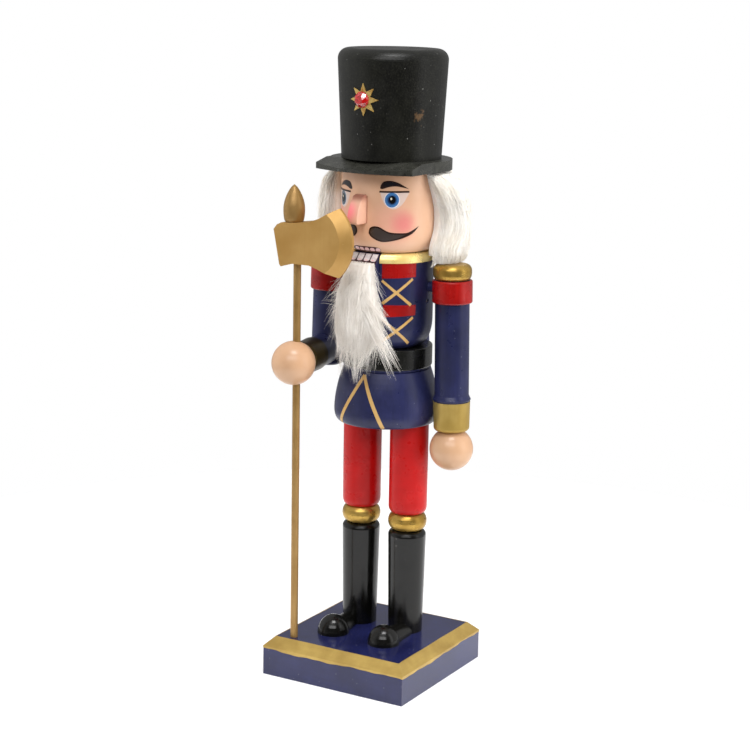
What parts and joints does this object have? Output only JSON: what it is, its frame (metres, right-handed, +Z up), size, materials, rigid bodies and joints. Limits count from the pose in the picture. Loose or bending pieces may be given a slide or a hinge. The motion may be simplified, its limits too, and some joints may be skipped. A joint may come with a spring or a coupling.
{
  "type": "nutcracker figure",
  "caption": "Standing wooden soldier nutcracker on a square plinth, with a lever-worked jaw, a swinging arm, a tall hat, fur beard and hair, and an axe on a staff.",
  "frame": {"origin": "centre of the plinth's underside", "axes": "+Z up through the hat; the figure faces -Y and its own left hand is on the +X side"},
  "size_m": [0.0888, 0.0902, 0.3],
  "materials": {
    "coat_paint": "satin navy paint over turned wood",
    "plinth_paint": "satin navy paint with a hand-painted gold border",
    "boot_paint": "gloss black paint",
    "belt_paint": "satin black paint",
    "trouser_paint": "satin red paint",
    "red_paint": "satin red paint",
    "bright_gold": "bright gold paint",
    "cuff_gold": "duller gold paint",
    "staff_gold": "brownish gold paint",
    "skin_paint": "satin skin-coloured paint",
    "hat_paint": "satin black paint, lightly worn",
    "white_fur": "long-pile imitation fur",
    "bare_wood": "bare hardwood",
    "steel": "zinc plated",
    "cut_glass_red": "faceted red stone"
  },
  "bodies": {
    "figure": {"plinth": "plinth_paint", "leg_screws": "steel", "boot_left": "boot_paint", "boot_right": "boot_paint", "toe_left": "boot_paint", "toe_right": "boot_paint", "knee_ring_left": "bright_gold", "knee_ring_right": "bright_gold", "trouser_left": "trouser_paint", "trouser_right": "trouser_paint", "knee_dowels": "bare_wood", "hip_dowels": "bare_wood", "coat_skirt": "coat_paint", "belt": "belt_paint", "chest": "coat_paint", "collar": "bright_gold", "spine_dowel": "bare_wood", "neck_dowels": "bare_wood", "head": "skin_paint", "nose": "skin_paint", "hair": "white_fur", "hat_brim": "hat_paint", "hat_crown": "hat_paint", "hat_dowel": "bare_wood", "hat_star": "bright_gold", "hat_gem": "cut_glass_red", "jaw_pin": "steel", "shoulder_peg_right": "bare_wood", "sleeve_right": "coat_paint", "shoulder_band_right": "red_paint", "epaulette_right": "bright_gold", "forearm_right": "coat_paint", "cuff_right": "cuff_gold", "hand_right": "skin_paint", "wrist_dowel_right": "bare_wood", "elbow_dowel_right": "bare_wood", "staff_rod": "staff_gold", "axe_head": "staff_gold", "staff_finial": "staff_gold"},
    "jaw": {"jaw_lever": "coat_paint", "beard": "white_fur"},
    "left_arm": {"sleeve_left": "coat_paint", "shoulder_band_left": "red_paint", "epaulette_left": "bright_gold", "cuff_left": "cuff_gold", "hand_left": "skin_paint", "wrist_dowel_left": "bare_wood", "shoulder_peg_left": "bare_wood"}
  },
  "joints": [
    {"name": "jaw_hinge", "type": "hinge", "parent": "figure", "child": "jaw", "pos_m": [0, 0.009, 0.1835], "axis": [1, 0, 0], "range_deg": [0, 20], "deforming": ["beard"]},
    {"name": "left_shoulder", "type": "hinge", "parent": "figure", "child": "left_arm", "pos_m": [0.0332, 0.011, 0.19], "axis": [-1, 0, 0], "range_deg": [-30, 95]}
  ]
}
